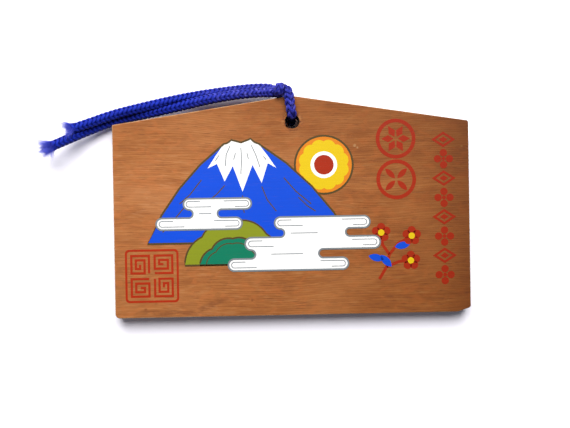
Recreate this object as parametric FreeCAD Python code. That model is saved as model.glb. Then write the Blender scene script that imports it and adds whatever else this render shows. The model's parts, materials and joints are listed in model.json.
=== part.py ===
import FreeCAD, Part
import math
import os

# Ema plaque: a small wooden votive board with a gabled top, lying face up, and its tie cord.
# Millimetres. +X runs along the board, +Y towards the gable, +Z up. The origin is on the surface
# that the plaque lies on, under the middle of the board.
# The back strand of the cord lies under the gable end, so the board leans on it by a few degrees.

V = FreeCAD.Vector

# Board, in its own plane: U along the bottom edge, V up to the gable, W from the back to the face
BOARD_WIDTH = 145.0
EAVE_HEIGHT = 78.3
GABLE_RISE = 11.0
BOARD_THICKNESS = 8.0
ARRIS_RADIUS = 0.4
LEFT_EAVE_WEAR = 0.6
RIGHT_EAVE_WEAR = 1.0
LEFT_FOOT_WEAR = 1.8
RIGHT_FOOT_WEAR_LENGTH = 5.3
RIGHT_FOOT_WEAR_HEIGHT = 1.8
RIGHT_FOOT_ROUNDING = 1.2

# Hole for the cord, with a splinter torn out of its mouth
HOLE_RADIUS = 2.65
HOLE_BELOW_APEX = 10.45
HOLE_OFFSET = 0.4
MOUTH_WEAR = 0.35
CHIP_RADIUS = 0.8
CHIP_DEPTH = 2.5
CHIP_TIP_RADIUS = 0.1
CHIP_ANGLE = 222.0

# Cord
CORD_DIAMETER = 4.0
CORD_GAP = 0.3
KNOT_FROM_CENTRE_LINE = 28.0
KNOT_LENGTH = 4.4
KNOT_HALF_WIDTH = 3.3
KNOT_HALF_HEIGHT = 4.8
KNOT_ROUNDING = 1.3
FRAY_LENGTH = 5.0
FRAY_SPREAD = 1.45
FRAY_MIDDLE_HEIGHT = 0.95
FRAY_END_HEIGHT = 0.7

# Share of the shorter run that an arc of the cord's route takes off it
ARC_SHARE = 0.45

# Worked out from the sizes above
CORD_RADIUS = CORD_DIAMETER / 2
APEX_HEIGHT = EAVE_HEIGHT + GABLE_RISE
HOLE_HEIGHT = APEX_HEIGHT - HOLE_BELOW_APEX
TILT = math.degrees(math.asin((CORD_DIAMETER + CORD_GAP) / HOLE_HEIGHT))

# The cord's two halves, from the middle of the hole to their cut ends, as points chosen by hand
FRONT_ROUTE = [
    V(0.4, 34.15, 8.29),  # middle of the hole
    V(0.4, 33.8, 14.68),  # out of its mouth
    V(-0.3, 40.0, 15.0),  # over the face
    V(-1.3, 46.3, 15.25),  # past the top edge, into the knot
    V(-10.5, 46.3, 13.9),
    V(-20.5, 45.6, 10.6),
    V(-32.9, 44.1, 7.8),
    V(-45.3, 41.4, 6.1),
    V(-58.2, 38.8, 4.9),
    V(-72.2, 36.5, 4.8),
    V(-84.7, 31.6, 7.0),
    V(-92.2, 27.5, 9.4),
    V(-97.2, 24.8, 10.6),
]
BACK_ROUTE = [
    V(0.4, 34.15, 8.29),  # middle of the hole
    V(0.4, 34.49, 2.0),  # down onto the surface
    V(-1.6, 40.8, 2.0),  # under the board
    V(-4.8, 47.1, 2.0),  # past the top edge, up its wall
    V(-5.0, 47.2, 10.5),  # into the knot
    V(-11.8, 47.9, 9.8),
    V(-20.5, 48.3, 7.3),
    V(-32.9, 47.2, 5.0),
    V(-45.6, 45.7, 5.3),
    V(-58.0, 42.6, 7.2),
    V(-72.8, 38.1, 9.2),
    V(-83.5, 34.2, 11.0),
    V(-89.2, 32.1, 12.0),
]
KNOT_CENTRE = V(-4.9, 46.5, 12.4)


def outline():
    """The board's outline as a face in the UV plane, with its worn corners."""
    half = BOARD_WIDTH / 2
    left_foot = V(-half, 0, 0)
    chamfer_start = V(half - RIGHT_FOOT_WEAR_LENGTH, 0, 0)
    chamfer_end = V(half, RIGHT_FOOT_WEAR_HEIGHT, 0)
    right_eave = V(half, EAVE_HEIGHT, 0)
    apex = V(0, APEX_HEIGHT, 0)
    left_eave = V(-half, EAVE_HEIGHT, 0)
    corners = [left_foot, chamfer_start, chamfer_end, right_eave, apex, left_eave]
    return Part.Face(Part.makePolygon(corners + corners[:1]))


def upright_edges(solid, u, v):
    """The edges that run through the board's thickness at the corner (u, v)."""
    found = []
    for edge in solid.Edges:
        ends = [vertex.Point for vertex in edge.Vertexes]
        if all(math.hypot(p.x - u, p.y - v) < 1e-6 for p in ends):
            found.append(edge)
    return found


def lay_down(shape):
    """Turns a shape from the board's own plane to where the board lies."""
    laid = shape.copy()
    laid.rotate(V(0, 0, 0), V(1, 0, 0), TILT)
    across = math.radians(TILT)
    reach = APEX_HEIGHT * math.cos(across) - BOARD_THICKNESS * math.sin(across)
    lift_of_rounded_arris = ARRIS_RADIUS * (math.sin(across) + math.cos(across) - 1)
    laid.translate(V(0, -reach / 2, -lift_of_rounded_arris))
    return laid


def hole_cylinder(radius, low, high):
    """A cylinder about the hole's axis, in the board's own plane."""
    base = V(HOLE_OFFSET, HOLE_HEIGHT, low)
    return Part.makeCylinder(radius, high - low, base, V(0, 0, 1))


def make_board():
    half = BOARD_WIDTH / 2
    plank = outline().extrude(V(0, 0, BOARD_THICKNESS))
    worn_corners = [
        (-half, EAVE_HEIGHT, LEFT_EAVE_WEAR),
        (half, EAVE_HEIGHT, RIGHT_EAVE_WEAR),
        (-half, 0, LEFT_FOOT_WEAR),
        (half - RIGHT_FOOT_WEAR_LENGTH, 0, RIGHT_FOOT_ROUNDING),
        (half, RIGHT_FOOT_WEAR_HEIGHT, RIGHT_FOOT_ROUNDING),
    ]
    for u, v, radius in worn_corners:
        plank = plank.makeFillet(radius, upright_edges(plank, u, v))
    rim = []
    for level in (0, BOARD_THICKNESS):
        rim += [e for e in plank.Edges if all(abs(p.Point.z - level) < 1e-6 for p in e.Vertexes)]
    plank = plank.makeFillet(ARRIS_RADIUS, rim)
    plank = plank.cut(hole_cylinder(HOLE_RADIUS, 0, BOARD_THICKNESS))
    wide = HOLE_RADIUS + MOUTH_WEAR
    axis_foot = V(HOLE_OFFSET, HOLE_HEIGHT, 0)
    axis_top = V(HOLE_OFFSET, HOLE_HEIGHT, BOARD_THICKNESS)
    plank = plank.cut(Part.makeCone(wide, HOLE_RADIUS, MOUTH_WEAR, axis_foot, V(0, 0, 1)))
    plank = plank.cut(Part.makeCone(wide, HOLE_RADIUS, MOUTH_WEAR, axis_top, V(0, 0, -1)))
    angle = math.radians(CHIP_ANGLE)
    chip_u = HOLE_OFFSET + HOLE_RADIUS * math.cos(angle)
    chip_v = HOLE_HEIGHT + HOLE_RADIUS * math.sin(angle)
    chip_base = V(chip_u, chip_v, BOARD_THICKNESS - CHIP_DEPTH)
    plank = plank.cut(Part.makeCone(CHIP_TIP_RADIUS, CHIP_RADIUS, CHIP_DEPTH, chip_base, V(0, 0, 1)))
    return lay_down(plank)


def route_wire(points, name):
    """Straight runs joined by tangent arcs, each as large as its two runs allow."""
    edges = []
    radii = []
    start = points[0]
    for before, corner, after in zip(points, points[1:], points[2:]):
        back = (before - corner).normalize()
        ahead = (after - corner).normalize()
        shorter = min(corner.distanceToPoint(before), corner.distanceToPoint(after))
        turn = math.pi - back.getAngle(ahead)
        cut_back = ARC_SHARE * shorter
        radius = cut_back / math.tan(turn / 2)
        radii.append(radius)
        arc_start = corner + back * cut_back
        arc_end = corner + ahead * cut_back
        middle_way = (back + ahead).normalize()
        to_middle = radius / math.cos(turn / 2) - radius
        edges.append(Part.LineSegment(start, arc_start).toShape())
        edges.append(Part.Arc(arc_start, corner + middle_way * to_middle, arc_end).toShape())
        start = arc_end
    edges.append(Part.LineSegment(start, points[-1]).toShape())
    print(name, "bend radii:", [round(radius, 1) for radius in radii])
    return Part.Wire(edges)


def make_tube(points, name):
    wire = route_wire(points, name)
    section = Part.Wire(Part.makeCircle(CORD_RADIUS, points[0], points[1] - points[0]))
    tube = wire.makePipeShell([section], True, False)
    expected = math.pi * CORD_RADIUS**2 * wire.Length
    print(name, "length", round(wire.Length, 1), "volume / (section x length)", tube.Volume / expected)
    return tube


def make_fray(points):
    """The loosened end of a half: as round as the cord where it starts, then wide and flat."""
    forward = (points[-1] - points[-2]).normalize()
    sideways = forward.cross(V(0, 0, 1)).normalize()
    up = sideways.cross(forward)
    sections = []
    stations = [(0, 1, 1), (0.5, FRAY_SPREAD, FRAY_MIDDLE_HEIGHT), (1, FRAY_SPREAD, FRAY_END_HEIGHT)]
    for along, width, height in stations:
        ring = Part.makeCircle(CORD_RADIUS)
        spread = FreeCAD.Matrix(
            sideways.x * width, up.x * height, forward.x, 0,
            sideways.y * width, up.y * height, forward.y, 0,
            sideways.z * width, up.z * height, forward.z, 0,
            0, 0, 0, 1,
        )
        centre = points[-1] + forward * (FRAY_LENGTH * along)
        placed = Part.Wire(ring).transformGeometry(spread)
        placed.translate(centre)
        sections.append(placed)
    return Part.makeLoft(sections, True)


def make_knot(front_half, back_half):
    """The wrap of the knot, fitted round both halves and kept off the board as it swings."""
    oval = Part.Ellipse(V(0, 0, 0), KNOT_HALF_HEIGHT, KNOT_HALF_WIDTH).toShape()
    wrap = Part.Face(Part.Wire(oval)).extrude(V(0, 0, KNOT_LENGTH))
    wrap = wrap.makeFillet(KNOT_ROUNDING, [e for e in wrap.Edges if e.isClosed()])
    wrap.translate(V(0, 0, -KNOT_LENGTH / 2))
    wrap.rotate(V(0, 0, 0), V(0, 1, 0), 90)
    wrap.translate(KNOT_CENTRE)
    room_radius = (HOLE_BELOW_APEX + CORD_GAP) / math.cos(math.radians(KNOT_FROM_CENTRE_LINE))
    room = hole_cylinder(room_radius, -BOARD_THICKNESS, BOARD_THICKNESS + CORD_GAP)
    return wrap.cut(lay_down(room)).cut(front_half).cut(back_half)


def save(shape, node):
    solids = shape.Solids
    if len(solids) != 1 or not solids[0].isValid():
        raise ValueError(f"{node} is not one valid solid: {len(solids)}")
    solids[0].exportStep(f"parts/{node}.step")


def main():
    os.makedirs("parts", exist_ok=True)
    front_half = make_tube(FRONT_ROUTE, "cord_front_half")
    back_half = make_tube(BACK_ROUTE, "cord_back_half")
    save(make_board(), "board")
    save(front_half, "cord_front_half")
    save(back_half, "cord_back_half")
    save(make_knot(front_half, back_half), "cord_knot")
    save(make_fray(FRONT_ROUTE), "fray_front_half")
    save(make_fray(BACK_ROUTE), "fray_back_half")


main()
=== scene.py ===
import json
import math
import random

import bpy
import numpy as np
from mathutils import Euler, Matrix, Vector
from mathutils.geometry import tessellate_polygon
from mathutils.kdtree import KDTree


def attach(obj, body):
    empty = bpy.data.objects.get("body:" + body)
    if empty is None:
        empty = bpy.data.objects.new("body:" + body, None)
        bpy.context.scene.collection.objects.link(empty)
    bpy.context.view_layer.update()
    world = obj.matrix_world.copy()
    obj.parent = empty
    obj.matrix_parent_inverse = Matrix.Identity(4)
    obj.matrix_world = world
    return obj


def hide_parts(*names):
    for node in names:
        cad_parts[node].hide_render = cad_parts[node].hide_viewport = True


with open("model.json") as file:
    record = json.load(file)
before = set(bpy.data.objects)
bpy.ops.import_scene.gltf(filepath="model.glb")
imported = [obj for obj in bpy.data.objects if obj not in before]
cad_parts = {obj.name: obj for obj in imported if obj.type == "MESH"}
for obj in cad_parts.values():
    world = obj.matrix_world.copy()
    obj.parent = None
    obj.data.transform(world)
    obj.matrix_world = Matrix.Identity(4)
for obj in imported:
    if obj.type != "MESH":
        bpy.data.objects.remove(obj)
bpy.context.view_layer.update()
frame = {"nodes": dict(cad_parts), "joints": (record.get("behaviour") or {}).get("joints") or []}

# Ema plaque: a printed wooden board lying on a white surface, with its blue braided tie cord.
# The board and its print are in millimetres, in the board's own plane. Everything else is in
# metres: the cord, the noises and marks of the materials, the light and the camera.

MM = 0.001

# What white paper lying in full light returns to the camera, where 1 is the brightest that shows
FULL_LIGHT = 1.75

# ---------------- the board's plane

# U runs along the board's bottom edge from its middle, V up to the gable, W from back to face
APEX_HEIGHT = 89.3
BOARD_THICKNESS = 8.0
HOLE_U = 0.4
HOLE_V = 78.85
# the hinge in the hole runs straight through the board, away from its face
FACE_NORMAL = -Vector(frame["joints"][0]["axis"])
TILT = math.atan2(-FACE_NORMAL.y, FACE_NORMAL.z)


def on_board(u, v, w):
    """A point of the board's own plane, in millimetres, as a place in the scene."""
    along_y = v * math.cos(TILT) - w * math.sin(TILT)
    height = v * math.sin(TILT) + w * math.cos(TILT)
    half_reach = (APEX_HEIGHT * math.cos(TILT) - BOARD_THICKNESS * math.sin(TILT)) / 2
    return (Vector((u, along_y, height)) - Vector((0, half_reach, 0))) * MM


def make_object(name, vertices, faces, material, smooth=False):
    mesh = bpy.data.meshes.new(name)
    mesh.from_pydata([tuple(v) for v in vertices], [], [tuple(f) for f in faces])
    mesh.materials.append(material)
    mesh.polygons.foreach_set("use_smooth", [smooth] * len(mesh.polygons))
    mesh.update()
    piece = bpy.data.objects.new(name, mesh)
    bpy.context.scene.collection.objects.link(piece)
    return piece


# ---------------- shaders


def linear(red, green, blue):
    """A colour given as seen on a screen, 0 to 255, as the linear values that shaders take."""
    channels = []
    for value in (red / 255, green / 255, blue / 255):
        channels.append(value / 12.92 if value <= 0.04045 else ((value + 0.055) / 1.055) ** 2.4)
    return tuple(channels) + (1.0,)


def seen(red, green, blue):
    """The surface colour that shows as that colour on screen in this scene's full light."""
    return tuple(c / FULL_LIGHT for c in linear(red, green, blue)[:3]) + (1.0,)


class Shader:
    """The nodes of a material or of the world, made one at a time."""

    def __init__(self, owner):
        self.owner = owner
        owner.use_nodes = True
        self.tree = owner.node_tree
        self.tree.nodes.clear()

    def feed(self, socket, value):
        if isinstance(value, bpy.types.NodeSocket):
            self.tree.links.new(value, socket)
        else:
            socket.default_value = value

    def node(self, kind, inputs=None, **settings):
        made = self.tree.nodes.new(kind)
        for key, value in settings.items():
            setattr(made, key, value)
        for key, value in (inputs or {}).items():
            self.feed(made.inputs[key], value)
        return made

    def math(self, operation, a, b=0.0, c=0.0, clamp=False):
        inputs = {0: a, 1: b, 2: c}
        return self.node("ShaderNodeMath", inputs, operation=operation, use_clamp=clamp).outputs[0]

    def noise(self, place, scale, detail=3.0, roughness=0.5, distortion=0.0, offset=(0, 0, 0)):
        """Noise in grains as long as 1 / scale metres each way; scale is one number or three."""
        each = scale if isinstance(scale, tuple) else (scale,) * 3
        inputs = {"Vector": place, "Location": offset, "Scale": each}
        placed = self.node("ShaderNodeMapping", inputs).outputs[0]
        inputs = {"Vector": placed, "Scale": 1.0, "Detail": detail, "Roughness": roughness,
                  "Distortion": distortion}
        return self.node("ShaderNodeTexNoise", inputs).outputs[0]

    def step(self, value, low, high, to_low=0.0, to_high=1.0):
        """value from low to high, as to_low to to_high with soft ends."""
        inputs = {"Value": value, "From Min": low, "From Max": high, "To Min": to_low,
                  "To Max": to_high}
        made = self.node("ShaderNodeMapRange", inputs, interpolation_type="SMOOTHSTEP")
        return made.outputs[0]

    def blend(self, share, a, b, how="MIX"):
        made = self.node("ShaderNodeMix", data_type="RGBA", blend_type=how)
        self.feed(made.inputs[0], share)
        self.feed(made.inputs[6], a)
        self.feed(made.inputs[7], b)
        return made.outputs[2]

    def distance(self, place, centre):
        inputs = {0: place, 1: tuple(centre)}
        made = self.node("ShaderNodeVectorMath", inputs, operation="DISTANCE")
        return made.outputs["Value"]

    def bump(self, height, distance, strength):
        inputs = {"Height": height, "Distance": distance, "Strength": strength}
        return self.node("ShaderNodeBump", inputs).outputs[0]

    def direct_ray(self):
        """1 for rays from the camera, also by way of a shiny or clear surface, 0 for the rest."""
        ray = self.node("ShaderNodeLightPath").outputs
        direct = self.math("ADD", ray["Is Camera Ray"], ray["Is Glossy Ray"])
        return self.math("ADD", direct, ray["Is Transmission Ray"], clamp=True)

    def surface(self, **inputs):
        named = {key.replace("_", " "): value for key, value in inputs.items()}
        shader = self.node("ShaderNodeBsdfPrincipled", named)
        self.node("ShaderNodeOutputMaterial", {"Surface": shader.outputs[0]})
        return self.owner


# ---------------- wood and ink

# The wood's colours as seen on screen
DULL_FIBRE = (178, 108, 55)
BRIGHT_FIBRE = (202, 130, 70)
GROWTH_LINE = (154, 88, 42)
PORE = (122, 68, 40)
STAIN = (136, 78, 44)
RUBBED_SPOT = (226, 172, 124)
# painted shade on the walls
PAINTED_WALL_SHADE = (150, 92, 56)
# paler along the arrises
PALE_ARRIS = (232, 190, 150)
# darker round the hole
DARK_RIM = (120, 66, 36)
TORN_FIBRE = (214, 158, 104)
# painted shade inside the hole
PAINTED_HOLE_SHADE = (26, 18, 14)
INK_PORE = (130, 80, 48)

# Noises across the wood. The flowing ones wander sideways together, as grown wood does.
DRIFT = dict(scale=(17, 34, 34), detail=1, offset=(6, 1, 0))
DRIFT_WIDTH = 0.009
FLOWING_NOISES = {
    "lines": dict(scale=(30, 1050, 1050), detail=2, roughness=0.55, distortion=0.25,
                  offset=(1, 2, 0)),
    "dashes": dict(scale=(150, 800, 800), detail=2, roughness=0.6, offset=(8, 2, 1)),
    "veins": dict(scale=(9, 300, 300), detail=3, distortion=0.5, offset=(0, 4, 1)),
    "bands": dict(scale=(4, 70, 70), detail=2, distortion=0.4, offset=(2, 4, 7)),
}
STILL_NOISES = {
    "ripple": dict(scale=(190, 330, 330), detail=3, distortion=0.8, offset=(7, 0, 2)),
    "clouds": dict(scale=(40, 75, 75), detail=3, offset=(7, 0, 2)),
    "ragged": dict(scale=(260, 700, 700), detail=4, roughness=0.65, offset=(2, 6, 3)),
    "rubbed": dict(scale=(130, 240, 240), detail=4, roughness=0.7, offset=(5, 5, 5)),
    "uneven": dict(scale=420.0),
    "torn": dict(scale=(700, 1400, 1400), detail=2, offset=(1, 8, 2)),
}

# What the noises lay over the fibres: where a noise begins to show, where it shows fully, its
# share there, and its colour
WOOD_LAYERS = [
    ("lines", 0.5, 0.68, 0.2, (152, 86, 40)),
    ("dashes", 0.46, 0.7, 0.42, (158, 92, 50)),
    ("dashes", 0.48, 0.28, 0.36, (218, 156, 106)),
    ("veins", 0.5, 0.7, 0.3, (157, 90, 43)),
    ("bands", 0.44, 0.64, 0.26, (166, 96, 46)),
    ("ripple", 0.46, 0.7, 0.5, (210, 124, 66)),
    ("clouds", 0.42, 0.68, 0.42, (212, 142, 88)),
]

# The stain lies STAIN_DROP below the middle, and slants up from STAIN_BEND left of the middle on.
# The pairs are where it begins to show and where it shows fully, off its line and along X.
STAIN_DROP = 0.0431
STAIN_SLOPE = 0.43
STAIN_BEND = 0.041
STAIN_EDGE = (0.0018, 0.0004)
STAIN_LEFT_END = (-0.068, -0.056)
STAIN_RIGHT_END = (-0.024, -0.032)

# Off the hole's axis: where the darker ring round it and the painted shade on its drilled wall
# begin and where they show fully
HOLE_RIM = (0.0052, 0.003)
HOLE_SHADE_REACH = (0.0042, 0.0036)

# Small dents and rubbed specks on the face: their place, radius and colour
NICKS = [
    ((-0.0602, -0.0414, 0.0), 0.0009, (148, 84, 44)),
    ((0.0257, 0.0238, 0.0), 0.0009, (228, 184, 146)),
    ((0.0695, 0.0228, 0.0), 0.0007, (226, 186, 150)),
    ((0.0722, 0.0148, 0.0), 0.0007, (226, 186, 150)),
    ((0.0268, 0.0229, 0.0), 0.0006, (228, 184, 146)),
    ((-0.0171, -0.0385, 0.0), 0.0007, (140, 78, 42)),
]

# Where the board falls off towards the right end, the top and the bottom, partly in its own tone
# and partly as painted fall-off of light: the axis, where it begins, where it ends, and the light
# lost there
TONE_AND_LIGHT_LOSSES = [("x", 0.05, 0.076, 0.3), ("y", 0.008, 0.042, 0.2), ("y", -0.006, -0.036, 0.07)]
TONE_AND_LIGHT_LOSS_ALONG = 0.47
GREEN_LOSS_POWER = 1.3
BLUE_LOSS_POWER = 2.15


def wood_grain(shader, place):
    """Heights of the wood's surface: fibres that run along X, and short pores."""
    fibres = shader.noise(place, (60, 1500, 1500), detail=4, roughness=0.62)
    pores = shader.noise(place, (190, 2600, 2600), detail=2, offset=(3, 1, 5))
    return fibres, shader.step(pores, 0.6, 0.74)


def tone_and_light_falloff(shader, place):
    """The board is brightest left of its middle and darkens towards the right end, the top and the
    bottom, most in blue, less in green and least in red: partly the wood's own tone and partly
    painted fall-off of light."""
    x, y, _ = shader.node("ShaderNodeSeparateXYZ", {0: place}).outputs
    along = shader.math("POWER", shader.math("MULTIPLY_ADD", x, 8.0, 0.4, clamp=True), 1.3)
    kept = shader.math("MULTIPLY_ADD", along, -TONE_AND_LIGHT_LOSS_ALONG, 1.0)
    for axis, start, end, loss in TONE_AND_LIGHT_LOSSES:
        value = x if axis == "x" else y
        kept = shader.math("MULTIPLY", kept, shader.step(value, start, end, 1.0, 1.0 - loss))
    green = shader.math("POWER", kept, GREEN_LOSS_POWER)
    blue = shader.math("POWER", kept, BLUE_LOSS_POWER)
    return shader.node("ShaderNodeCombineColor", {0: kept, 1: green, 2: blue}).outputs[0]


def growth_lines(shader, flow):
    """Fine wavy growth lines, just under a millimetre apart."""
    inputs = {"Vector": flow, "Scale": (44, 345, 345), "Location": (2, 0, 0)}
    stretched = shader.node("ShaderNodeMapping", inputs).outputs[0]
    inputs = {"Vector": stretched, "Scale": 1.0, "Distortion": 5.2, "Detail": 3.0,
              "Detail Scale": 1.1}
    return shader.node("ShaderNodeTexWave", inputs, bands_direction="Y").outputs["Fac"]


def wood_figure(shader, fibres, pores, rings, noises):
    """The wood's colour: fibres, growth lines, everything in WOOD_LAYERS, and pores on top."""
    colour = shader.blend(shader.step(fibres, 0.3, 0.72), seen(*DULL_FIBRE), seen(*BRIGHT_FIBRE))
    strength = shader.step(noises["veins"], 0.3, 0.6, 0.1, 0.29)
    strength = shader.math("MULTIPLY", shader.step(rings, 0.5, 1.0), strength)
    colour = shader.blend(strength, colour, seen(*GROWTH_LINE))
    for name, start, full, share, tint in WOOD_LAYERS:
        colour = shader.blend(shader.step(noises[name], start, full, 0.0, share), colour,
                              seen(*tint))
    return shader.blend(shader.math("MULTIPLY", pores, 0.55), colour, seen(*PORE))


def with_marks(shader, colour, x, y, above, noises):
    """Adds a thin ragged stain along the bottom edge, rubbed pale spots and the nicks."""
    lift = shader.math("MULTIPLY_ADD", x, STAIN_SLOPE, STAIN_SLOPE * STAIN_BEND)
    lift = shader.math("MAXIMUM", lift, 0.0)
    off_stain = shader.math("SUBTRACT", shader.math("ADD", y, STAIN_DROP), lift)
    stain = shader.step(shader.math("ABSOLUTE", off_stain), *STAIN_EDGE)
    stain = shader.math("MULTIPLY", stain, shader.step(noises["ragged"], 0.36, 0.6))
    stain = shader.math("MULTIPLY", stain, shader.step(x, *STAIN_LEFT_END, 0.0, 0.6))
    stain = shader.math("MULTIPLY", stain, shader.step(x, *STAIN_RIGHT_END))
    colour = shader.blend(stain, colour, seen(*STAIN))
    rubbed = shader.step(noises["rubbed"], 0.66, 0.8, 0.0, 0.5)
    colour = shader.blend(rubbed, colour, seen(*RUBBED_SPOT))
    for centre, radius, tint in NICKS:
        nick = shader.step(shader.distance(above, centre), radius, radius * 0.3, 0.0, 0.7)
        nick = shader.math("MULTIPLY", nick, shader.step(noises["ragged"], 0.4, 0.5))
        colour = shader.blend(nick, colour, seen(*tint))
    return colour


def with_edges(shader, colour, flatness, noises):
    """Adds painted shade on the walls, and a paler line along the arrises between them and the
    faces.
    """
    # painted shade: every wall is darkened, whichever way it faces
    wall = shader.step(flatness, 0.25, 0.02, 0.0, 0.35)
    colour = shader.blend(wall, colour, seen(*PAINTED_WALL_SHADE))
    # a paler line along the arrises
    arris = shader.step(flatness, 0.1, 0.4)
    arris = shader.math("MULTIPLY", arris, shader.step(flatness, 0.998, 0.93))
    arris = shader.math("MULTIPLY", arris, shader.step(noises["uneven"], 0.3, 0.6, 0.2, 0.85))
    return shader.blend(arris, colour, seen(*PALE_ARRIS))


def with_hole(shader, colour, flatness, above, noises):
    """Adds a darker ragged ring round the hole, with a few torn pale fibres, and painted shade on
    its drilled wall.
    """
    centre = on_board(HOLE_U, HOLE_V, BOARD_THICKNESS / 2)
    off_centre = shader.distance(above, (centre.x, centre.y, 0.0))
    rim = shader.step(off_centre, *HOLE_RIM)
    # a darker ragged ring round the hole
    dark_ring = shader.math("MULTIPLY", rim, shader.step(noises["torn"], 0.5, 0.6))
    colour = shader.blend(dark_ring, colour, seen(*DARK_RIM))
    pale = shader.math("MULTIPLY", rim, shader.step(noises["torn"], 0.42, 0.34, 0.0, 0.35))
    colour = shader.blend(pale, colour, seen(*TORN_FIBRE))
    # painted shade on the hole's drilled wall
    drilled = shader.step(off_centre, *HOLE_SHADE_REACH)
    drilled = shader.math("MULTIPLY", drilled, shader.step(flatness, 0.985, 0.8))
    return shader.blend(drilled, colour, seen(*PAINTED_HOLE_SHADE))


def board_material():
    shader = Shader(bpy.data.materials.new("board_wood"))
    place = shader.node("ShaderNodeTexCoord").outputs["Object"]
    x, y, z = shader.node("ShaderNodeSeparateXYZ", {0: place}).outputs
    above = shader.node("ShaderNodeCombineXYZ", {0: x, 1: y, 2: 0.0}).outputs[0]
    drifted = shader.math("MULTIPLY_ADD", shader.noise(place, **DRIFT), DRIFT_WIDTH, y)
    flow = shader.node("ShaderNodeCombineXYZ", {0: x, 1: drifted, 2: z}).outputs[0]
    noises = {name: shader.noise(flow, **how) for name, how in FLOWING_NOISES.items()}
    noises.update({name: shader.noise(place, **how) for name, how in STILL_NOISES.items()})
    fibres, pores = wood_grain(shader, place)
    rings = growth_lines(shader, flow)

    # how far a wall or an arris turns away from the plane of the face
    normal = shader.node("ShaderNodeNewGeometry").outputs["Normal"]
    inputs = {0: normal, 1: FACE_NORMAL}
    facing = shader.node("ShaderNodeVectorMath", inputs, operation="DOT_PRODUCT").outputs["Value"]
    flatness = shader.math("ABSOLUTE", facing)

    colour = wood_figure(shader, fibres, pores, rings, noises)
    colour = with_marks(shader, colour, x, y, above, noises)
    colour = with_edges(shader, colour, flatness, noises)
    # the wood's own tone, with painted fall-off of light laid over it
    colour = shader.blend(1.0, colour, tone_and_light_falloff(shader, place), "MULTIPLY")
    colour = with_hole(shader, colour, flatness, above, noises)

    height = shader.math("MULTIPLY_ADD", pores, -0.8, fibres)
    height = shader.math("MULTIPLY_ADD", noises["lines"], 0.5, height)
    height = shader.math("MULTIPLY_ADD", rings, -0.6, height)
    roughness = shader.step(fibres, 0.3, 0.7, 0.66, 0.54)
    return shader.surface(Base_Color=colour, Roughness=roughness, Specular_IOR_Level=0.15,
                          Normal=shader.bump(height, 0.00006, 0.5))


def ink_material(name, colour, grain=0.1, falloff_shade=0.2):
    """Screen-printed ink: flat colour, with the grain of the wood under it just showing, and
    darkened by the given share with the board's fall-off, as painted shade."""
    shader = Shader(bpy.data.materials.new(name))
    place = shader.node("ShaderNodeTexCoord").outputs["Object"]
    fibres, pores = wood_grain(shader, place)
    uneven = shader.noise(place, (90, 260, 260), detail=3, offset=(4, 4, 0))
    base = seen(*colour)
    darker = tuple(c * 0.72 for c in base[:3]) + (1.0,)
    tone = shader.blend(shader.step(fibres, 0.35, 0.7, grain * 1.6, 0.0), base, darker)
    tone = shader.blend(shader.step(uneven, 0.45, 0.75, 0.0, grain), tone, darker)
    tone = shader.blend(shader.math("MULTIPLY", pores, grain), tone, seen(*INK_PORE))
    # painted shade: the ink darkens with the board's fall-off of light
    tone = shader.blend(falloff_shade, tone, tone_and_light_falloff(shader, place), "MULTIPLY")
    height = shader.math("MULTIPLY_ADD", pores, -0.8, fibres)
    return shader.surface(Base_Color=tone, Roughness=0.45, Specular_IOR_Level=0.12,
                          Normal=shader.bump(height, 0.00005, 0.35))


# ---------------- drawing with lines


def arc(start, end, bulge):
    """Points from start towards end, without end. bulge 1 is a half circle to the right."""
    if not bulge:
        return [start]
    start, end = Vector(start), Vector(end)
    chord = end - start
    angle = 4 * math.atan(bulge)
    radius = chord.length / (2 * math.sin(angle / 2))
    inward = Vector((-chord.y, chord.x)).normalized()
    centre = (start + end) / 2 + inward * radius * math.cos(angle / 2)
    steps = max(2, math.ceil(abs(angle) / 0.16))
    arm = start - centre
    return [tuple(centre + Matrix.Rotation(angle * k / steps, 2) @ arm) for k in range(steps)]


def outline(points):
    """A closed line through (u, v, bulge) points, run anticlockwise: a bulge swells outwards."""
    line = []
    for (u, v, bulge), (next_u, next_v, _) in zip(points, points[1:] + points[:1]):
        line += arc((u, v), (next_u, next_v), bulge)
    return line


def moved(line, u=0.0, v=0.0, turn=0.0, size=1.0):
    cos, sin = math.cos(turn) * size, math.sin(turn) * size
    return [(u + a * cos - b * sin, v + a * sin + b * cos) for a, b in line]


def circle(u, v, radius):
    return outline([(u - radius, v, 1), (u + radius, v, 1)])


def rounded_square(u, v, half, radius):
    corner = math.tan(math.pi / 8)
    flat = half - radius
    points = [(-flat, -half, 0), (flat, -half, corner), (half, -flat, 0), (half, flat, corner),
              (flat, half, 0), (-flat, half, corner), (-half, flat, 0), (-half, -flat, corner)]
    return moved(outline(points), u, v)


def stroke(points, width):
    """The two rings that bound a closed line of that width along the points."""
    left, right = [], []
    for k, point in enumerate(points):
        after = points[(k + 1) % len(points)]
        way = (Vector(after) - Vector(points[k - 1])).normalized()
        side = Vector((-way.y, way.x)) * width / 2
        left.append(tuple(Vector(point) + side))
        right.append(tuple(Vector(point) - side))
    return [left, right]


def band(points, width):
    """The ring round an open line of that width, with square corners."""
    left, right = [], []
    for k, point in enumerate(points):
        here = Vector(point)
        ways = []
        if k:
            ways.append((here - Vector(points[k - 1])).normalized())
        if k < len(points) - 1:
            ways.append((Vector(points[k + 1]) - here).normalized())
        sides = [Vector((-way.y, way.x)) for way in ways]
        side = sides[0]
        if len(sides) == 2:
            side = (sides[0] + sides[1]) / (1 + sides[0].dot(sides[1]))
        left.append(tuple(here + side * width / 2))
        right.append(tuple(here - side * width / 2))
    return left + right[::-1]


# ---------------- the printed drawings

INK_THICKNESS = 0.012
# a layer of ink starts this share of its thickness above the one under it
INK_GAP = 0.3

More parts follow.
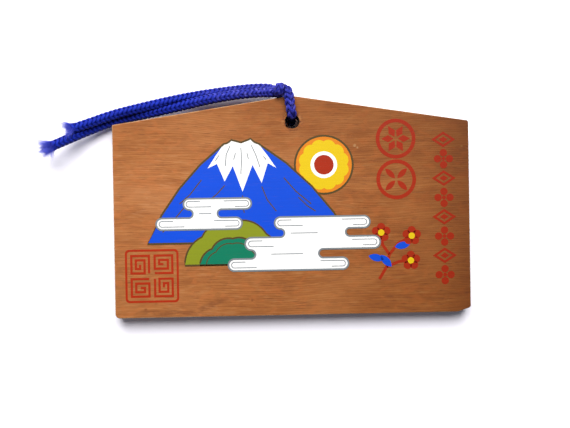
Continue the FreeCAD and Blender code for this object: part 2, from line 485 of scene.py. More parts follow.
# Outlines are (u, v, bulge) points and lines are (u, v) points
MOUNTAIN = [(-59, 30, -0.13), (-27.5, 70, 0.2), (-24.5, 71.6, 0), (-20.5, 70.5, 0),
            (-16.5, 72, 0.2), (-13.5, 70, -0.13), (24, 30, 0)]
SNOW = [(-34.2, 60.2, -0.02), (-27.5, 70, 0.2), (-24.5, 71.6, 0), (-20.5, 70.5, 0),
        (-16.5, 72, 0.2), (-13.5, 70, -0.02), (-6.4, 60, 0), (-9.8, 62, 0), (-12.4, 54, 0),
        (-16, 61.4, 0), (-20.2, 50.6, 0), (-24, 61, 0), (-27.4, 54.8, 0), (-30.4, 62, 0)]
SNOW_CREASES = [
    [(-25, 69.2), (-26.6, 65.6), (-27, 61)],
    [(-20.6, 68.4), (-20.4, 63), (-20.8, 57.6)],
    [(-16.4, 69.4), (-14.6, 65.4), (-13, 60.4)],
    [(-22.8, 66.4), (-23.6, 63.6)],
    [(-18.2, 66.2), (-17.6, 63.8)],
    [(-29.6, 65.4), (-31, 63.2)],
    [(-11.6, 64.8), (-10.4, 63.4)],
]
RIDGES = [
    [(-12.4, 52.6), (-10.2, 47), (-6.6, 42.4)],
    [(-3.4, 56), (1.4, 50.4), (7.6, 45.2)],
    [(-20.2, 49), (-20.8, 46), (-19.6, 42)],
    [(-27.4, 53.2), (-30.6, 49.8), (-35.6, 45.8)],
    [(-36.8, 55.6), (-41.6, 49.6), (-45.8, 46)],
    [(2.4, 48), (6, 44.4), (9.4, 42.2)],
    [(-43, 45.6), (-48.8, 38.8), (-52.8, 34.6)],
]
SUN = (13.0, 61.0)
SUN_RADIUS = 11.8
SUN_RAYS = 12
FAR_HILL = [(-44, 21, 0), (-6, 21, 0.3), (-11, 33.5, 0.35), (-24, 38.5, 0.35), (-37, 32.5, 0.3)]
NEAR_HILL = [(-38, 21, 0), (-12, 21, 0.3), (-16, 28.6, 0.35), (-24.5, 31.6, 0.35),
             (-33, 27.6, 0.3)]
# a line inside the near hill repeats its outline, shrunk by this much towards its foot
HILL_FOOT = (-25, 21)
HILL_SHRINK = 0.2
CLOUDS = [
    [(-53, 35.5, 0), (-23, 35.5, 1), (-23, 40.2, 0), (-29, 40.2, -0.9), (-29, 43.6, 0),
     (-19, 43.6, 1), (-19, 48, 0), (-42, 48, 1), (-42, 43.6, -0.9), (-42, 40.2, 0),
     (-53, 40.2, 1)],
    [(-24, 18.4, 0), (20, 18.4, 1), (20, 23.2, 0), (12, 23.2, -0.9), (12, 26.8, 0),
     (33, 26.8, 1), (33, 31.8, 0), (23, 31.8, -0.9), (23, 35.2, 0), (29, 35.2, 1),
     (29, 40, 0), (-5, 40, 1), (-5, 35.2, -0.9), (-5, 31.8, 0), (-17, 31.8, 1),
     (-17, 26.8, -0.9), (-17, 23.2, 0), (-24, 23.2, 1)],
]
# where a line follows a cloud's round end inside: its place, its height, and which way it faces
CLOUD_ENDS = [(-23, 37.85, 1), (-53, 37.85, -1), (-42, 45.8, -1), (-19, 45.8, 1), (20, 20.8, 1),
              (33, 29.3, 1), (29, 37.6, 1), (-5, 37.6, -1), (-17, 29.3, -1), (-24, 20.8, -1)]
CLOUD_FOLDS = [[(-1, 33.4), (10, 33.4)], [(-9, 25), (4, 25)], [(-38, 41.9), (-33, 41.9)]]
TWIG_LINES = [
    [(35, 14), (38, 19), (39.2, 24), (43, 28.5), (48, 31)],
    [(39.2, 24), (36.5, 28), (36, 32)],
    [(38, 19), (43, 21), (47, 21.6)],
]
BLOSSOMS = [(48.5, 31.5), (36, 33), (48, 21.4)]
LEAF = [(0, 0, 0.45), (6.5, 0, 0.45)]
# each leaf's foot and the way that it points
LEAVES = [(40, 19, 2.3), (41.5, 27, 0.2), (37, 22, 2.9)]
STAR_PLACE = (42.5, 71.2)
FOUR_LEAF_PLACE = (42.5, 54.6)
ROUNDEL_RADIUS = 7.4
ROUNDEL_WIDTH = 1.5
COLUMN_TOP = (62.0, 70.6)
COLUMN_PITCH = 7.9
COLUMN_COUNT = 8
LOZENGE = [(-4.9, 0), (0, -3.2), (4.9, 0), (0, 3.2)]
SEAL_PLACE = (-57.4, 17.0)
SPIRAL_OFFSET = 4.7
SPIRAL_SIZE = 8.0
SPIRAL_WIDTH = 0.9

OUTLINE_WIDTH = 0.8
THIN_OUTLINE_WIDTH = 0.7
RIDGE_WIDTH = 0.45
HILL_LINE_WIDTH = 0.4
CREASE_WIDTH = 0.35
TWIG_WIDTH = 1.2

INKS = {
    "blue": dict(colour=(4, 84, 238)),
    "white": dict(colour=(280, 280, 279), grain=0.05, falloff_shade=0.0),
    "orange": dict(colour=(248, 146, 30)),
    "yellow": dict(colour=(252, 216, 16), grain=0.06),
    "red": dict(colour=(192, 48, 4), grain=0.18, falloff_shade=0.5),
    "olive": dict(colour=(150, 162, 32)),
    "teal": dict(colour=(0, 133, 100)),
    "brown": dict(colour=(90, 72, 34), grain=0.12),
    "grey": dict(colour=(142, 150, 156)),
}


def scalloped(u, v, radius, count):
    """A disc with round bumps all round."""
    corners = []
    for k in range(count):
        angle = 2 * math.pi * k / count
        corners.append((radius * math.cos(angle), radius * math.sin(angle), 0.5))
    return moved(outline(corners), u, v)


def cloud_end(u, v, facing):
    """A thin line that follows a cloud's round end inside it."""
    low, high = (u, v - 1.15), (u, v + 1.15)
    if facing < 0:
        low, high = high, low
    before = (low[0] - 4.5 * facing, low[1])
    after = (high[0] - 9 * facing, high[1])
    return [before] + arc(low, high, 1) + [high, after]


def petals(u, v, count, reach, radius):
    """Round petals about a middle."""
    rings = []
    for k in range(count):
        angle = 2 * math.pi * k / count + math.pi / 2
        rings.append(circle(u + reach * math.cos(angle), v + reach * math.sin(angle), radius))
    return rings


def star_roundel(u, v, radius, width):
    """A round frame that holds a hemp-leaf star of six lozenges."""
    shapes = [stroke(circle(u, v, radius), width)]
    lozenge = [(0.9, 0), (radius * 0.42, -radius * 0.2), (radius * 0.8, 0),
               (radius * 0.42, radius * 0.2)]
    for k in range(6):
        shapes.append([moved(lozenge, u, v, math.pi / 3 * k)])
    return shapes


def four_leaf_roundel(u, v, radius, width):
    """A round frame that holds four linked petals of the seven-treasures pattern."""
    shapes = [stroke(circle(u, v, radius), width)]
    leaf = outline([(0.7, 0, 0.4), (radius * 0.84, 0, 0.4)])
    for k in range(4):
        shapes.append([moved(leaf, u, v, math.pi / 2 * k + math.pi / 4)])
    return shapes


def ornament_column(u, top, pitch, count):
    """A narrow column of lozenges and four-petalled flowers in turn."""
    shapes = []
    for k in range(count):
        v = top - pitch * k
        if k % 2:
            shapes += [[ring] for ring in petals(u, v, 4, 2.45, 1.5)]
            shapes.append([circle(u, v, 0.8)])
        else:
            shapes.append([moved(LOZENGE, u, v), moved(LOZENGE, u, v, size=0.66)])
            shapes.append([moved(LOZENGE, u, v, size=0.36)])
    return shapes


def square_spiral(u, v, size, width, turn):
    """One square of the thunder pattern: a line that winds in."""
    a = (size - width) / 2
    b = a - 2 * width
    c = b - 2 * width
    line = [(-a, -a), (a, -a), (a, a), (-a, a), (-a, -b), (b, -b), (b, b), (-b, b), (-b, -c),
            (c, -c)]
    return [band(moved(line, u, v, turn), width)]


def seal(u, v):
    """A square frame with round corners that holds four squares of the thunder pattern."""
    shapes = [[rounded_square(u, v, 10.8, 1.7), rounded_square(u, v, 9.95, 1.0)]]
    for k in range(4):
        turn = math.pi / 2 * k
        off_u, off_v = moved([(SPIRAL_OFFSET, SPIRAL_OFFSET)], turn=turn)[0]
        shapes.append(square_spiral(u + off_u, v + off_v, SPIRAL_SIZE, SPIRAL_WIDTH, turn))
    return shapes


def print_layer(name, ink, level, shapes):
    """Ink of one colour: each shape is a list of rings, and rings in the first are its holes."""
    low = BOARD_THICKNESS + INK_THICKNESS * (level + INK_GAP)
    high = BOARD_THICKNESS + INK_THICKNESS * (level + 1)
    vertices, faces = [], []
    for rings in shapes:
        first = len(vertices)
        flat = [point for ring in rings for point in ring]
        under = first + len(flat)
        vertices += [on_board(u, v, high) for u, v in flat]
        vertices += [on_board(u, v, low) for u, v in flat]
        for a, b, c in tessellate_polygon([[Vector((*p, 0)) for p in ring] for ring in rings]):
            (ua, va), (ub, vb), (uc, vc) = flat[a], flat[b], flat[c]
            if (ub - ua) * (vc - va) < (vb - va) * (uc - ua):
                b, c = c, b
            faces.append((first + a, first + b, first + c))
            faces.append((under + c, under + b, under + a))
        start = first
        for k, ring in enumerate(rings):
            area = sum(p[0] * q[1] - q[0] * p[1] for p, q in zip(ring, ring[1:] + ring[:1]))
            # the first ring's walls face away from its middle, and a hole's walls into the hole
            turned = area <= 0 if k == 0 else area >= 0
            for j in range(len(ring)):
                a, b = start + j, start + (j + 1) % len(ring)
                if turned:
                    a, b = b, a
                faces.append((a, a + len(flat), b + len(flat), b))
            start += len(ring)
    piece = make_object(name, vertices, faces, ink)
    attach(piece, "plaque")


def make_print():
    inks = {name: ink_material(f"ink_{name}", **how) for name, how in INKS.items()}
    blue, white, red = inks["blue"], inks["white"], inks["red"]
    yellow, brown, grey = inks["yellow"], inks["brown"], inks["grey"]

    mountain = outline(MOUNTAIN)
    ridges = [[band(line, RIDGE_WIDTH)] for line in RIDGES]
    creases = [[band(line, CREASE_WIDTH)] for line in SNOW_CREASES]
    print_layer("print_mountain", blue, 4, [[mountain]])
    print_layer("print_ridges", brown, 5, ridges)
    print_layer("print_snow", white, 5, [[outline(SNOW)]])
    print_layer("print_snow_creases", grey, 6, creases)
    print_layer("print_mountain_line", brown, 6, [stroke(mountain, OUTLINE_WIDTH)])

    edge = circle(*SUN, SUN_RADIUS)
    print_layer("print_sun_disc", inks["orange"], 0, [[edge]])
    print_layer("print_sun_rays", yellow, 1, [[scalloped(*SUN, SUN_RADIUS * 0.8, SUN_RAYS)]])
    print_layer("print_sun_ring", white, 2, [[circle(*SUN, SUN_RADIUS * 0.46)]])
    print_layer("print_sun_heart", red, 3, [[circle(*SUN, SUN_RADIUS * 0.34)]])
    print_layer("print_sun_line", brown, 1, [stroke(edge, OUTLINE_WIDTH)])

    far_hill, near_hill = outline(FAR_HILL), outline(NEAR_HILL)
    foot_u, foot_v = (value * HILL_SHRINK for value in HILL_FOOT)
    inner_line = moved(near_hill, foot_u, foot_v, size=1 - HILL_SHRINK)
    hill_lines = [stroke(hill, THIN_OUTLINE_WIDTH) for hill in (far_hill, near_hill)]
    hill_lines.append(stroke(inner_line, HILL_LINE_WIDTH))
    print_layer("print_far_hill", inks["olive"], 7, [[far_hill]])
    print_layer("print_near_hill", inks["teal"], 8, [[near_hill]])
    print_layer("print_hill_line", brown, 9, hill_lines)

    clouds = [outline(points) for points in CLOUDS]
    folds = [cloud_end(*end) for end in CLOUD_ENDS] + CLOUD_FOLDS
    cloud_lines = [stroke(cloud, THIN_OUTLINE_WIDTH) for cloud in clouds]
    cloud_lines += [[band(fold, CREASE_WIDTH)] for fold in folds]
    print_layer("print_clouds", white, 10, [[cloud] for cloud in clouds])
    print_layer("print_cloud_line", grey, 11, cloud_lines)

    leaves = [[moved(outline(LEAF), *leaf)] for leaf in LEAVES]
    flowers = [[ring] for place in BLOSSOMS for ring in petals(*place, 5, 2.2, 1.7)]
    hearts = [[circle(*place, 1.3)] for place in BLOSSOMS]
    print_layer("print_twig", red, 0, [[band(line, TWIG_WIDTH)] for line in TWIG_LINES])
    print_layer("print_leaves", blue, 1, leaves)
    print_layer("print_blossoms", red, 2, flowers)
    print_layer("print_blossom_hearts", yellow, 3, hearts)

    roundels = star_roundel(*STAR_PLACE, ROUNDEL_RADIUS, ROUNDEL_WIDTH)
    roundels += four_leaf_roundel(*FOUR_LEAF_PLACE, ROUNDEL_RADIUS, ROUNDEL_WIDTH)
    ornaments = ornament_column(*COLUMN_TOP, COLUMN_PITCH, COLUMN_COUNT)
    print_layer("print_roundels", red, 0, roundels)
    print_layer("print_small_ornaments", red, 0, ornaments)
    print_layer("print_seal", red, 0, seal(*SEAL_PLACE))


# ---------------- the cord

CORD_DIAMETER = 0.004
LINE_STEPS = 30

# The cord's halves, from the middle of the hole to their cut ends, as given points
FRONT_ROUTE = [
    (0.0004, 0.0351, 0.00829),
    (0.0004, 0.0360, 0.0136),
    (-0.0004, 0.0400, 0.0149),
    (-0.0008, 0.0448, 0.0151),
    (-0.0022, 0.0472, 0.0148),
    (-0.0066, 0.0458, 0.0122),
    (-0.0114, 0.0465, 0.0086),
    (-0.0205, 0.0461, 0.0084),
    (-0.0329, 0.0445, 0.0074),
    (-0.0453, 0.0419, 0.0064),
    (-0.0582, 0.0394, 0.0046),
    (-0.0722, 0.0371, 0.0031),
    (-0.0847, 0.0321, 0.0045),
    (-0.0922, 0.0279, 0.0086),
    (-0.0972, 0.0251, 0.0114),
]
BACK_ROUTE = [
    (0.0004, 0.03415, 0.00829),
    (0.0004, 0.03449, 0.0022),
    (-0.0016, 0.0408, 0.0022),
    (-0.0044, 0.0473, 0.0022),
    (-0.0043, 0.0482, 0.0100),
    (-0.0043, 0.0486, 0.0167),
    (-0.0049, 0.0448, 0.0169),
    (-0.0051, 0.0447, 0.0118),
    (-0.0068, 0.0488, 0.0046),
    (-0.0121, 0.0493, 0.0053),
    (-0.0205, 0.0488, 0.0050),
    (-0.0329, 0.0471, 0.0049),
    (-0.0390, 0.0461, 0.0051),
    (-0.0456, 0.0448, 0.0059),
    (-0.0580, 0.0421, 0.0064),
    (-0.0728, 0.0387, 0.0064),
    (-0.0835, 0.0348, 0.0070),
    (-0.0892, 0.0327, 0.0084),
]

# The knot: its wrap turns about an axis along X through this y and z, and is middled on KNOT_X
KNOT_AXIS = (0.0468, 0.0141)
KNOT_X = -0.0047
KNOT_HALF_WIDTH = 0.0019
KNOT_HALF_DEPTH = 0.006

# The braid: how far along the cord a yarn goes once round, the yarns' cross section, how far out
# they lie and weave, the groove between a yarn's two plies, and yarn per length of cord
YARNS_EACH_WAY = 6
BRAID_LEAD = 0.0114
YARN_WIDTH = 0.00132
YARN_THICKNESS = 0.0011
YARN_SIDES = 12
YARN_RIDE = 0.00118
YARN_WEAVE = 0.0003
WEAVE_CRISPNESS = 2.2
PLY_GROOVE = 0.12
PLY_GROOVE_WIDTH = 0.35
CORE_RADIUS = 0.0012
YARN_PER_CORD = 1.25
# painted shade: a yarn is darkened where another strand lies nearer than this
CLOSE_REACH = 0.0026

# Shares of the cord's diameter: round the board's edge, just past the knot, what slackness adds
# further along, and what the hole takes away. Towards its cut end the cord changes over END_TAPER.
LOOP_THICKNESS = 1.08
PAST_KNOT_THICKNESS = 0.99
SLACK_GAIN = 0.13
HOLE_LOSS = 0.22
END_TAPER = 0.035

# The wrap of the knot: how flat it is pressed, and how far from its axis and its middle
WRAP_FLATNESS = 0.55
WRAP_DEPTH = 0.0026
WRAP_REACH = 0.0046

# The frayed ends. The triples are how widely leanings spread at random along X, Y and Z.
FIBRES = 1300
FIBRE_STATIONS = 6
LOCKS = 16
LOCK_BEND = (0.2, 0.2, 0.12)
FIBRE_STRAY = (0.13, 0.13, 0.09)
FIBRE_CURL = (0.12, 0.12, 0.1)
WILD_SHARE = 0.06

# The cord's colours, on screen: painted shade in the grooves, shaded and bright yarn, yarn near
# the knot turned violet as a painted highlight, and the share of paler blue painted as a highlight
# on the yarns' tops and laid on the frayed fibres' tips. The span after them is where, along X,
# the violet highlight begins and is full.
BRAID_COLOURS = dict(groove=(5, 7, 56), shade=(13, 20, 108), light=(27, 50, 170),
                     violet_highlight=(60, 59, 142), highlight_and_tip_paleness=0.02)
FRAY_COLOURS = dict(groove=(16, 20, 120), shade=(36, 46, 180), light=(74, 90, 220),
                    violet_highlight=(70, 76, 200), highlight_and_tip_paleness=0.42)
VIOLET_HIGHLIGHT_SPAN = (-0.05, -0.008)
# lighter painted shade in the grooves near the knot
KNOT_GROOVE_SHADE = (26, 26, 92)
GLINT = (118, 114, 206)
# paler blue: a painted highlight on the yarns' tops, and the frayed fibres' paler tips
TOP_HIGHLIGHT_AND_TIP_BLUE = (132, 140, 246)
# painted shade on the cord inside the hole
CORD_SHADE_IN_HOLE = (8, 8, 22)
SHEEN = (110, 125, 255)


def cord_material(name, groove, shade, light, violet_highlight, highlight_and_tip_paleness):
    """Silky yarn with fine filaments along it. Painted shade makes it nearly black blue in the
    grooves, where the strands touch and inside the hole; towards the knot a painted highlight turns
    it more violet, with painted glints, and a paler blue is painted on the yarns' tops as a
    highlight and on the frayed fibres' tips."""
    shader = Shader(bpy.data.materials.new(name))
    place = shader.node("ShaderNodeTexCoord").outputs["Object"]
    x, y, z = shader.node("ShaderNodeSeparateXYZ", {0: place}).outputs
    strand = shader.node("ShaderNodeUVMap", uv_map="strand").outputs[0]
    crest = shader.node("ShaderNodeAttribute", attribute_name="crest").outputs["Fac"]
    filaments = shader.noise(strand, (22, 0.9, 1), detail=2, roughness=0.6)
    patches = shader.noise(place, 240.0)
    glints = shader.noise(place, 620.0, detail=2, offset=(3, 3, 3))
    # painted highlight: towards the knot the yarn turns violet, with glints, and its grooves
    # lighter
    near_knot = shader.step(x, *VIOLET_HIGHLIGHT_SPAN, 0.0, 0.75)

    bright = shader.blend(near_knot, linear(*light), linear(*violet_highlight))
    colour = shader.blend(shader.step(filaments, 0.3, 0.7), linear(*shade), bright)
    colour = shader.blend(shader.step(patches, 0.4, 0.7, 0.0, 0.3), colour, linear(*shade))
    glint = shader.math("MULTIPLY", shader.step(glints, 0.5, 0.7, 0.0, 0.5), near_knot)
    colour = shader.blend(glint, colour, linear(*GLINT))
    crevice = shader.blend(near_knot, linear(*groove), linear(*KNOT_GROOVE_SHADE))
    # painted shade: low crest, in the grooves and where strands touch, turns nearly black blue
    colour = shader.blend(shader.step(crest, 0.9, 0.0), colour, crevice)
    # painted highlight on the yarns' tops; on the frayed ends, paler tips
    colour = shader.blend(shader.step(crest, 0.6, 1.0, 0.0, highlight_and_tip_paleness), colour, linear(*TOP_HIGHLIGHT_AND_TIP_BLUE))
    # painted shade on the cord where it goes down into the hole
    in_hole = shader.math("MULTIPLY", shader.step(y, 0.038, 0.0366), shader.step(z, 0.0146, 0.0126))
    in_hole = shader.math("MULTIPLY", in_hole, shader.step(x, -0.006, -0.004))
    colour = shader.blend(in_hole, colour, linear(*CORD_SHADE_IN_HOLE))
    return shader.surface(Base_Color=colour, Roughness=0.55, Specular_IOR_Level=0.16,
                          Specular_Tint=linear(*SHEEN), Normal=shader.bump(filaments, 0.00005, 0.6))


def read_line(name, points):
    """A smooth line with the route's points as its control points, read as close-set points."""
    curve = bpy.data.curves.new(name, "CURVE")
    curve.dimensions = "3D"
    spline = curve.splines.new("NURBS")
    spline.points.add(len(points) - 1)
    for point, place in zip(spline.points, points):
        point.co = (*place, 1)
    spline.order_u = 3
    spline.use_endpoint_u = True
    curve.resolution_u = LINE_STEPS
    holder = bpy.data.objects.new(name, curve)
    mesh = bpy.data.meshes.new_from_object(holder)
    line = np.array([vertex.co for vertex in mesh.vertices], float)
    bpy.data.objects.remove(holder)
    bpy.data.meshes.remove(mesh)
    return line


def carried_frames(line):
    """Unit vectors along the line and two across it, which turn as little as they can."""
    ways = np.gradient(line, axis=0)
    ways /= np.linalg.norm(ways, axis=1)[:, None]
    first = np.cross(ways[0], (1.0, 0.0, 0.0))
    sides = [first / np.linalg.norm(first)]
    for way in ways[1:]:
        side = sides[-1] - way * sides[-1].dot(way)
        sides.append(side / np.linalg.norm(side))
    sides = np.array(sides)
    return ways, sides, np.cross(ways, sides)


def lengths_along(line):
    return np.concatenate([[0], np.cumsum(np.linalg.norm(np.diff(line, axis=0), axis=1))])


def ease(share):
    """From 0 to 1 with soft ends, as share goes from 0 to 1."""
    held = np.clip(share, 0, 1)
    return held * held * (3 - 2 * held)


def tube_faces(first, rings, sides):
    """Faces of a tube of rings of vertices, with both ends closed."""
    faces = []
    for k in range(rings - 1):
        for j in range(sides):
            a, b = first + k * sides + j, first + k * sides + (j + 1) % sides
            faces.append((a, b, b + sides, a + sides))
    faces.append(tuple(first + j for j in reversed(range(sides))))
    last = first + (rings - 1) * sides
    faces.append(tuple(last + j for j in range(sides)))
    return faces


def thickness_along(line, end_thickness, knot_thickness):
    """How thick the cord is along the line, where 1 is its diameter: full round the board's edge
    and where it lies slack, pinched in the knot and in the hole, and changing to its cut end."""
    x, y, z = line.T
    along = lengths_along(line)
    slack = PAST_KNOT_THICKNESS + SLACK_GAIN * ease((-0.012 - x) / 0.03)
    past_knot = ease((KNOT_X - 0.002 - x) / 0.006)
    full = LOOP_THICKNESS + (slack - LOOP_THICKNESS) * past_knot
    thickness = end_thickness + (full - end_thickness) * ease((along[-1] - along) / END_TAPER)
    in_knot = np.exp(-((x - KNOT_X) / KNOT_HALF_WIDTH) ** 4)
    in_knot *= np.abs(y - KNOT_AXIS[0]) < KNOT_HALF_DEPTH
    in_hole = ease((0.0135 - z) / 0.002) * ease((0.0375 - y) / 0.002)
    in_hole *= ease((x + 0.006) / 0.002)
    return thickness * (1 - (1 - knot_thickness) * in_knot) * (1 - HOLE_LOSS * in_hole)


def untouched(ring, line):
    return ring


def flattened_in_knot(ring, line):
    """The wrap lies flat on the strand that it goes round: thin towards the knot's axis."""
    axis_y, axis_z = KNOT_AXIS
    inward = np.stack([np.zeros(len(line)), line[:, 1] - axis_y, line[:, 2] - axis_z], 1)
    distance = np.linalg.norm(inward, axis=1)
    inward /= np.maximum(distance, 0.0001)[:, None]
    beside = np.abs(line[:, 0] - KNOT_X)
    beyond = np.maximum(distance - WRAP_DEPTH, 0)
    flatness = WRAP_FLATNESS * ease((WRAP_REACH - beside - beyond * 1.5) / 0.003)
    offset = ring - line[:, None]
    height = (offset * inward[:, None]).sum(axis=2)
    return ring - inward[:, None] * (height * flatness[:, None])[:, :, None]


def strand_piece(name, vertices, faces, strand, crest, material):
    """A mesh of many strands. strand is how far round and along each vertex lies on its own strand,
    crest how far out of the grooves between strands it stands, less where another strand lies
    close; the material paints shade where crest is low."""
    piece = make_object(name, vertices, faces, material, smooth=True)
    uv = piece.data.uv_layers.new(name="strand")
    loops = np.empty(len(piece.data.loops), int)
    piece.data.loops.foreach_get("vertex_index", loops)
    uv.data.foreach_set("uv", np.array(strand, np.float32)[loops].ravel())
    heights = piece.data.attributes.new("crest", "FLOAT", "POINT")
    heights.data.foreach_set("value", np.array(crest, np.float32))
    return piece


def closeness(vertices, line):
    """How near each vertex lies to the strand along line, from 0 at CLOSE_REACH to 1 at touch."""
    tree = KDTree(len(line))
    for k, place in enumerate(line):
        tree.insert(place, k)
    tree.balance()
    distance = np.array([tree.find(vertex)[2] for vertex in vertices])
    return ease((CLOSE_REACH - distance) / (CLOSE_REACH - CORD_DIAMETER / 2))


def braid(name, line, other_line, thickness, stretch, pressed, material):
    """A round braid of two-ply yarns each way, two over and two under, about a core along the
    line. pressed(points, line) moves the points of each ring where the knot squeezes it."""
    ways, sides, ups = carried_frames(line)
    along = lengths_along(line)
    lead = BRAID_LEAD * (1 + stretch)
    turns = np.cumsum(np.gradient(along) / lead)
    helix = np.arctan(2 * math.pi * YARN_RIDE / lead)[:, None]
    around = np.arange(YARN_SIDES) * 2 * math.pi / YARN_SIDES
    lobes = 1 - PLY_GROOVE * np.exp(-(np.cos(around) / PLY_GROOVE_WIDTH) ** 2)
    scale = thickness[:, None, None]
    vertices, faces, strand, crest = [], [], [], []

    def add_tube(points):
        faces.extend(tube_faces(len(vertices), len(line), YARN_SIDES))
        vertices.extend(pressed(points, line).reshape(-1, 3))

    for hand in (1, -1):
        for yarn in range(YARNS_EACH_WAY):
            angle = 2 * math.pi * (yarn / YARNS_EACH_WAY + hand * turns)
            outward = np.cos(angle)[:, None] * sides + np.sin(angle)[:, None] * ups
            forward = ways * np.cos(helix) + np.cross(ways, outward) * hand * np.sin(helix)
            across = np.cross(outward, forward)
            over = np.tanh(WEAVE_CRISPNESS * np.cos(YARNS_EACH_WAY / 2 * angle)) * hand
            centres = line + outward * ((YARN_RIDE + YARN_WEAVE * over) * thickness)[:, None]
            flat = across[:, None] * np.cos(around)[None, :, None] * YARN_WIDTH / 2
            tall = outward[:, None] * (np.sin(around) * lobes)[None, :, None] * YARN_THICKNESS / 2
            add_tube(centres[:, None] + (flat + tall) * scale)
            lengths = along * YARN_PER_CORD
            strand += [(j / YARN_SIDES, s / MM) for s in lengths for j in range(YARN_SIDES)]
            # crest: high on a yarn's top, low on its sides and where it goes under
            height = (np.sin(around) * lobes)[None] * (0.75 + 0.25 * over[:, None])
            crest += list(height.ravel())
    level = sides[:, None] * np.cos(around)[None, :, None]
    upright = ups[:, None] * np.sin(around)[None, :, None]
    add_tube(line[:, None] + (level + upright) * CORE_RADIUS * scale)
    strand += [(0.0, 0.0)] * (len(line) * YARN_SIDES)
    crest += [0.0] * (len(line) * YARN_SIDES)
    # painted shade where the other strand lies close
    crest = np.array(crest) - closeness(vertices, other_line)
    return strand_piece(name, vertices, faces, strand, crest, material)


def leaning(rng, spreads):
    return np.array([rng.gauss(0, spread) for spread in spreads])


def fray(name, line, thickness, seed, material):
    """Locks of loose fibres that spread from the cut end of the cord."""
    ways, sides, ups = carried_frames(line)
    centre, way, side, up = line[-1], ways[-1], sides[-1], ups[-1]
    rng = random.Random(seed)
    locks = []
    for lock in range(LOCKS):
        angle = 2 * math.pi * (lock + rng.uniform(-0.3, 0.3)) / LOCKS
        bend = leaning(rng, LOCK_BEND)
        depth = rng.uniform(0.45, 0.95)
        length = rng.uniform(1.6, 3.3)
        flare = rng.uniform(0.3, 1.5)
        locks.append((angle, depth, length, flare, bend))
    vertices, faces, strand, crest = [], [], [], []
    for fibre in range(FIBRES):
        angle, depth, length, flare, bend = rng.choice(locks)
        angle += rng.gauss(0, 0.2)
        share = math.sqrt(min(1.0, depth * rng.uniform(0.1, 1.1)))
        radius = thickness * CORD_DIAMETER / 2 * share
        outward = math.cos(angle) * side + math.sin(angle) * up
        start = centre - way * rng.uniform(0.5, 1.5) * MM + outward * radius
        reach = (length * rng.uniform(0.7, 1.1) + 1.0) * MM
        stray = leaning(rng, FIBRE_STRAY)
        curl = leaning(rng, FIBRE_CURL)
        if rng.random() < WILD_SHARE:
            reach *= 1.3
            curl *= 2.2
        width = rng.uniform(0.032, 0.065) * MM
        turn_side = np.cross(way, outward)
        faces += tube_faces(len(vertices), FIBRE_STATIONS, 3)
        for k in range(FIBRE_STATIONS):
            t = k / (FIBRE_STATIONS - 1)
            spread = outward * radius / CORD_DIAMETER * flare * t
            place = start + (way + spread + stray * t + (bend + curl) * t * t) * reach * t
            for corner in range(3):
                a = corner * 2 * math.pi / 3
                off = (outward * math.cos(a) + turn_side * math.sin(a)) * width * (1 - 0.6 * t)
                vertices.append(place + off)
                strand.append((corner / 3, reach * t / MM))
                # crest rises from root to tip: painted shade near the root, paler blue at the tips
                crest.append(0.35 + 0.65 * t)
    return strand_piece(name, vertices, faces, strand, crest, material)


# What sets the two halves apart. tautness is how much the braid stretches on its way from the
# hole to the knot.
HALVES = {
    "front": dict(route=FRONT_ROUTE, end_thickness=1.06, knot_thickness=0.72, tautness=0.4,
                  pressed=untouched, nodes=["cord_front_half"], seed=3),
    "back": dict(route=BACK_ROUTE, end_thickness=1.08, knot_thickness=0.86, tautness=0.0,
                 pressed=flattened_in_knot, nodes=["cord_back_half", "cord_knot"], seed=8),
}


def make_cord():
    braid_blue = cord_material("cord_braid", **BRAID_COLOURS)
    fray_blue = cord_material("cord_fray", **FRAY_COLOURS)
    lines = {half: read_line(f"{half}_line", how["route"]) for half, how in HALVES.items()}
    for half, how in HALVES.items():
        line = lines[half]
        other_line = lines["back" if half == "front" else "front"]
        thickness = thickness_along(line, how["end_thickness"], how["knot_thickness"])
        stretch = how["tautness"] * ease((0.016 - lengths_along(line)) / 0.008)
        cord = braid(f"braided_cord_{half}", line, other_line, thickness, stretch,
                     how["pressed"], braid_blue)
        tuft = fray(f"frayed_end_{half}", line, how["end_thickness"], how["seed"], fray_blue)
        for piece, slot in ((cord, "cord_braid"), (tuft, "cord_fray")):
            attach(piece, "cord")
        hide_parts(*how["nodes"])
        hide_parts(f"fray_{half}_half")


# ---------------- floor, light and camera

FLOOR_HALF = 3.0
FLOOR_COLOUR = (0.88, 0.87, 0.94, 1)
# how far off the middle the floor begins to glow for direct rays, and glows fully
GLOW_REACH = (0.12, 0.5)
ROOM_COLOUR = (0.78, 0.86, 1.0, 1)
ROOM_STRENGTH = 0.17
WINDOW_PLACE = (-0.03, 0.53, 0.71)
WINDOW_SIZE = 0.92
WINDOW_POWER = 19.9
WINDOW_COLOUR = (1.0, 0.98, 0.96)
WHITE = (1, 1, 1, 1)
CAMERA_PLACE = (-0.01227, -0.01816, 0.33167)
CAMERA_TURN = (2.613, -1.58, -1.048)
LENS_LENGTH = 50.0
FILM_WIDTH = 36.0


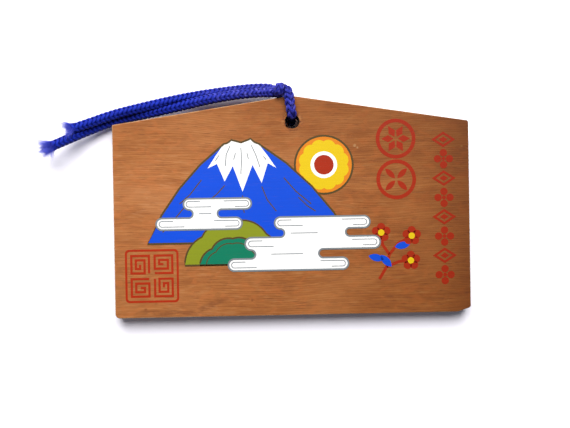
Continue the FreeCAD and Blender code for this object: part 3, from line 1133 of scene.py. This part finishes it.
def make_floor():
    shader = Shader(bpy.data.materials.new("floor_paper"))
    place = shader.node("ShaderNodeNewGeometry").outputs["Position"]
    reach = shader.node("ShaderNodeVectorMath", {0: place}, operation="LENGTH").outputs["Value"]
    lift = shader.math("MULTIPLY", shader.direct_ray(), shader.step(reach, *GLOW_REACH))
    plain = shader.node("ShaderNodeBsdfDiffuse", {"Color": FLOOR_COLOUR})
    glow = shader.node("ShaderNodeEmission", {"Color": WHITE, "Strength": lift})
    both = shader.node("ShaderNodeAddShader", {0: plain.outputs[0], 1: glow.outputs[0]})
    shader.node("ShaderNodeOutputMaterial", {"Surface": both.outputs[0]})
    half = FLOOR_HALF
    corners = [(-half, -half, 0), (half, -half, 0), (half, half, 0), (-half, half, 0)]
    floor = make_object("floor", corners, [(0, 1, 2, 3)], shader.owner)


def light_room():
    """A weak bluish light from all round, which direct rays see as white."""
    shader = Shader(bpy.data.worlds.new("studio"))
    inputs = {"Color": ROOM_COLOUR, "Strength": ROOM_STRENGTH}
    room = shader.node("ShaderNodeBackground", inputs).outputs[0]
    white = shader.node("ShaderNodeBackground", {"Color": WHITE}).outputs[0]
    inputs = {0: shader.direct_ray(), 1: room, 2: white}
    either = shader.node("ShaderNodeMixShader", inputs).outputs[0]
    shader.node("ShaderNodeOutputWorld", {"Surface": either})
    bpy.context.scene.world = shader.owner


def make_window():
    """A wide window beyond the top of the plaque, turned to its middle."""
    lamp = bpy.data.lights.new("window", "AREA")
    lamp.shape = "DISK"
    lamp.size = WINDOW_SIZE
    lamp.energy = WINDOW_POWER
    lamp.color = WINDOW_COLOUR
    holder = bpy.data.objects.new("window", lamp)
    holder.location = WINDOW_PLACE
    holder.rotation_euler = (-Vector(WINDOW_PLACE)).to_track_quat("-Z", "Y").to_euler()
    bpy.context.scene.collection.objects.link(holder)


def make_camera():
    view = bpy.data.cameras.new("camera")
    view.lens = LENS_LENGTH
    view.sensor_width = FILM_WIDTH
    view.clip_start = 0.01
    view.clip_end = 20.0
    holder = bpy.data.objects.new("camera", view)
    holder.location = CAMERA_PLACE
    holder.rotation_euler = Euler([math.radians(angle) for angle in CAMERA_TURN], "XYZ")
    bpy.context.scene.collection.objects.link(holder)
    bpy.context.scene.camera = holder


def main():
    board = frame["nodes"]["board"]
    board.data.materials.clear()
    board.data.materials.append(board_material())
    make_print()
    make_cord()
    make_floor()
    light_room()
    make_window()
    make_camera()
    bpy.context.scene.view_settings.view_transform = "Standard"


main()
